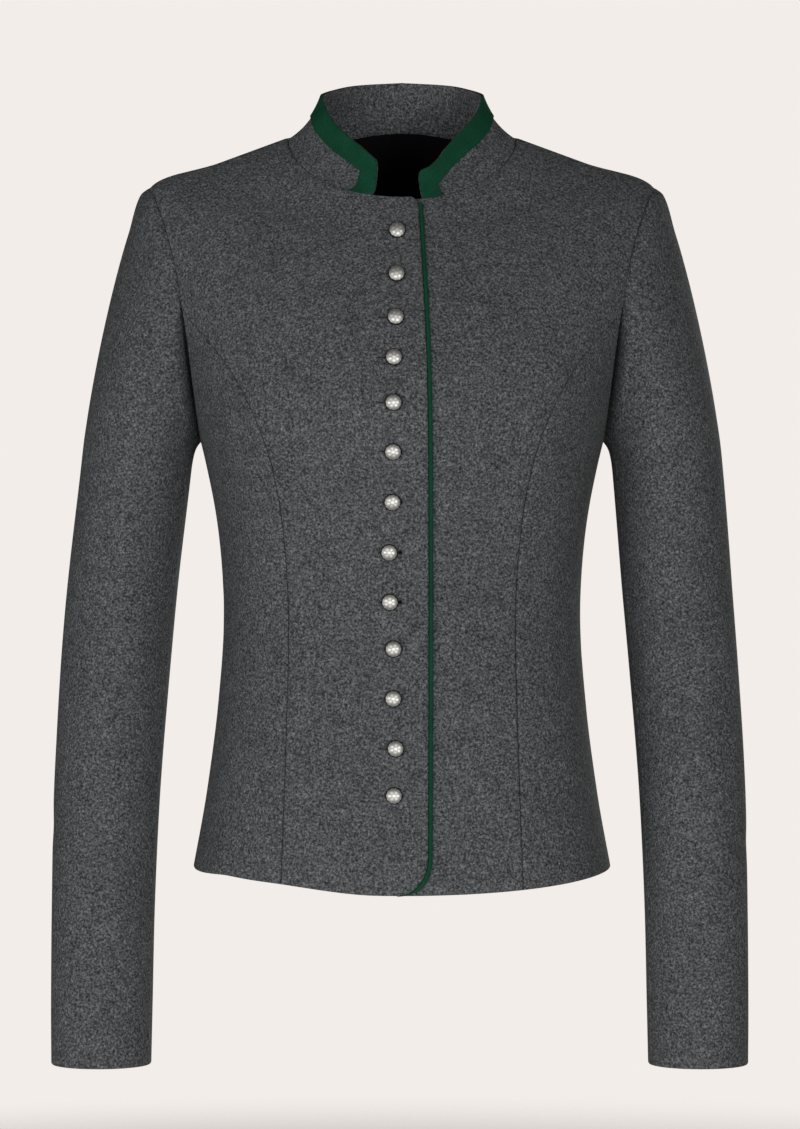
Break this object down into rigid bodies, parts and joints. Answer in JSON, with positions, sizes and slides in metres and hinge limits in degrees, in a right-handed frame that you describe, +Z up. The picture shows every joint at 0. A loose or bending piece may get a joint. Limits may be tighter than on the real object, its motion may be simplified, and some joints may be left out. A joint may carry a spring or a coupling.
{
  "type": "trachten jacket",
  "caption": "Fitted grey wool jacket with princess seams, long sleeves, an open stand collar edged in green felt, and a buttoned front, hollow as it is worn.",
  "frame": {"origin": "midway between the two points where the shoulder seams meet the collar, where the wearer's shoulders carry the jacket", "axes": "+Z up, -Y towards the front, +X towards the wearer's left"},
  "size_m": [0.4842, 0.2383, 0.6899],
  "materials": {
    "grey_wool": "soft melange wool cloth",
    "green_felt": "dense matt felt",
    "black_lining": "smooth lining cloth",
    "old_silver": "darkened silver-coloured metal"
  },
  "bodies": {
    "root": {"centre_front_right": "grey_wool", "side_front_right": "grey_wool", "centre_front_left": "grey_wool", "side_front_left": "grey_wool", "back_right": "grey_wool", "back_left": "grey_wool", "top_sleeve_right": "grey_wool", "under_sleeve_right": "grey_wool", "top_sleeve_left": "grey_wool", "under_sleeve_left": "grey_wool", "collar": "grey_wool", "collar_band": "green_felt", "front_piping": "green_felt", "back_lining": "black_lining", "button_01": "old_silver", "button_02": "old_silver", "button_03": "old_silver", "button_04": "old_silver", "button_05": "old_silver", "button_06": "old_silver", "button_07": "old_silver", "button_08": "old_silver", "button_09": "old_silver", "button_10": "old_silver", "button_11": "old_silver", "button_12": "old_silver", "button_13": "old_silver"}
  },
  "joints": []
}
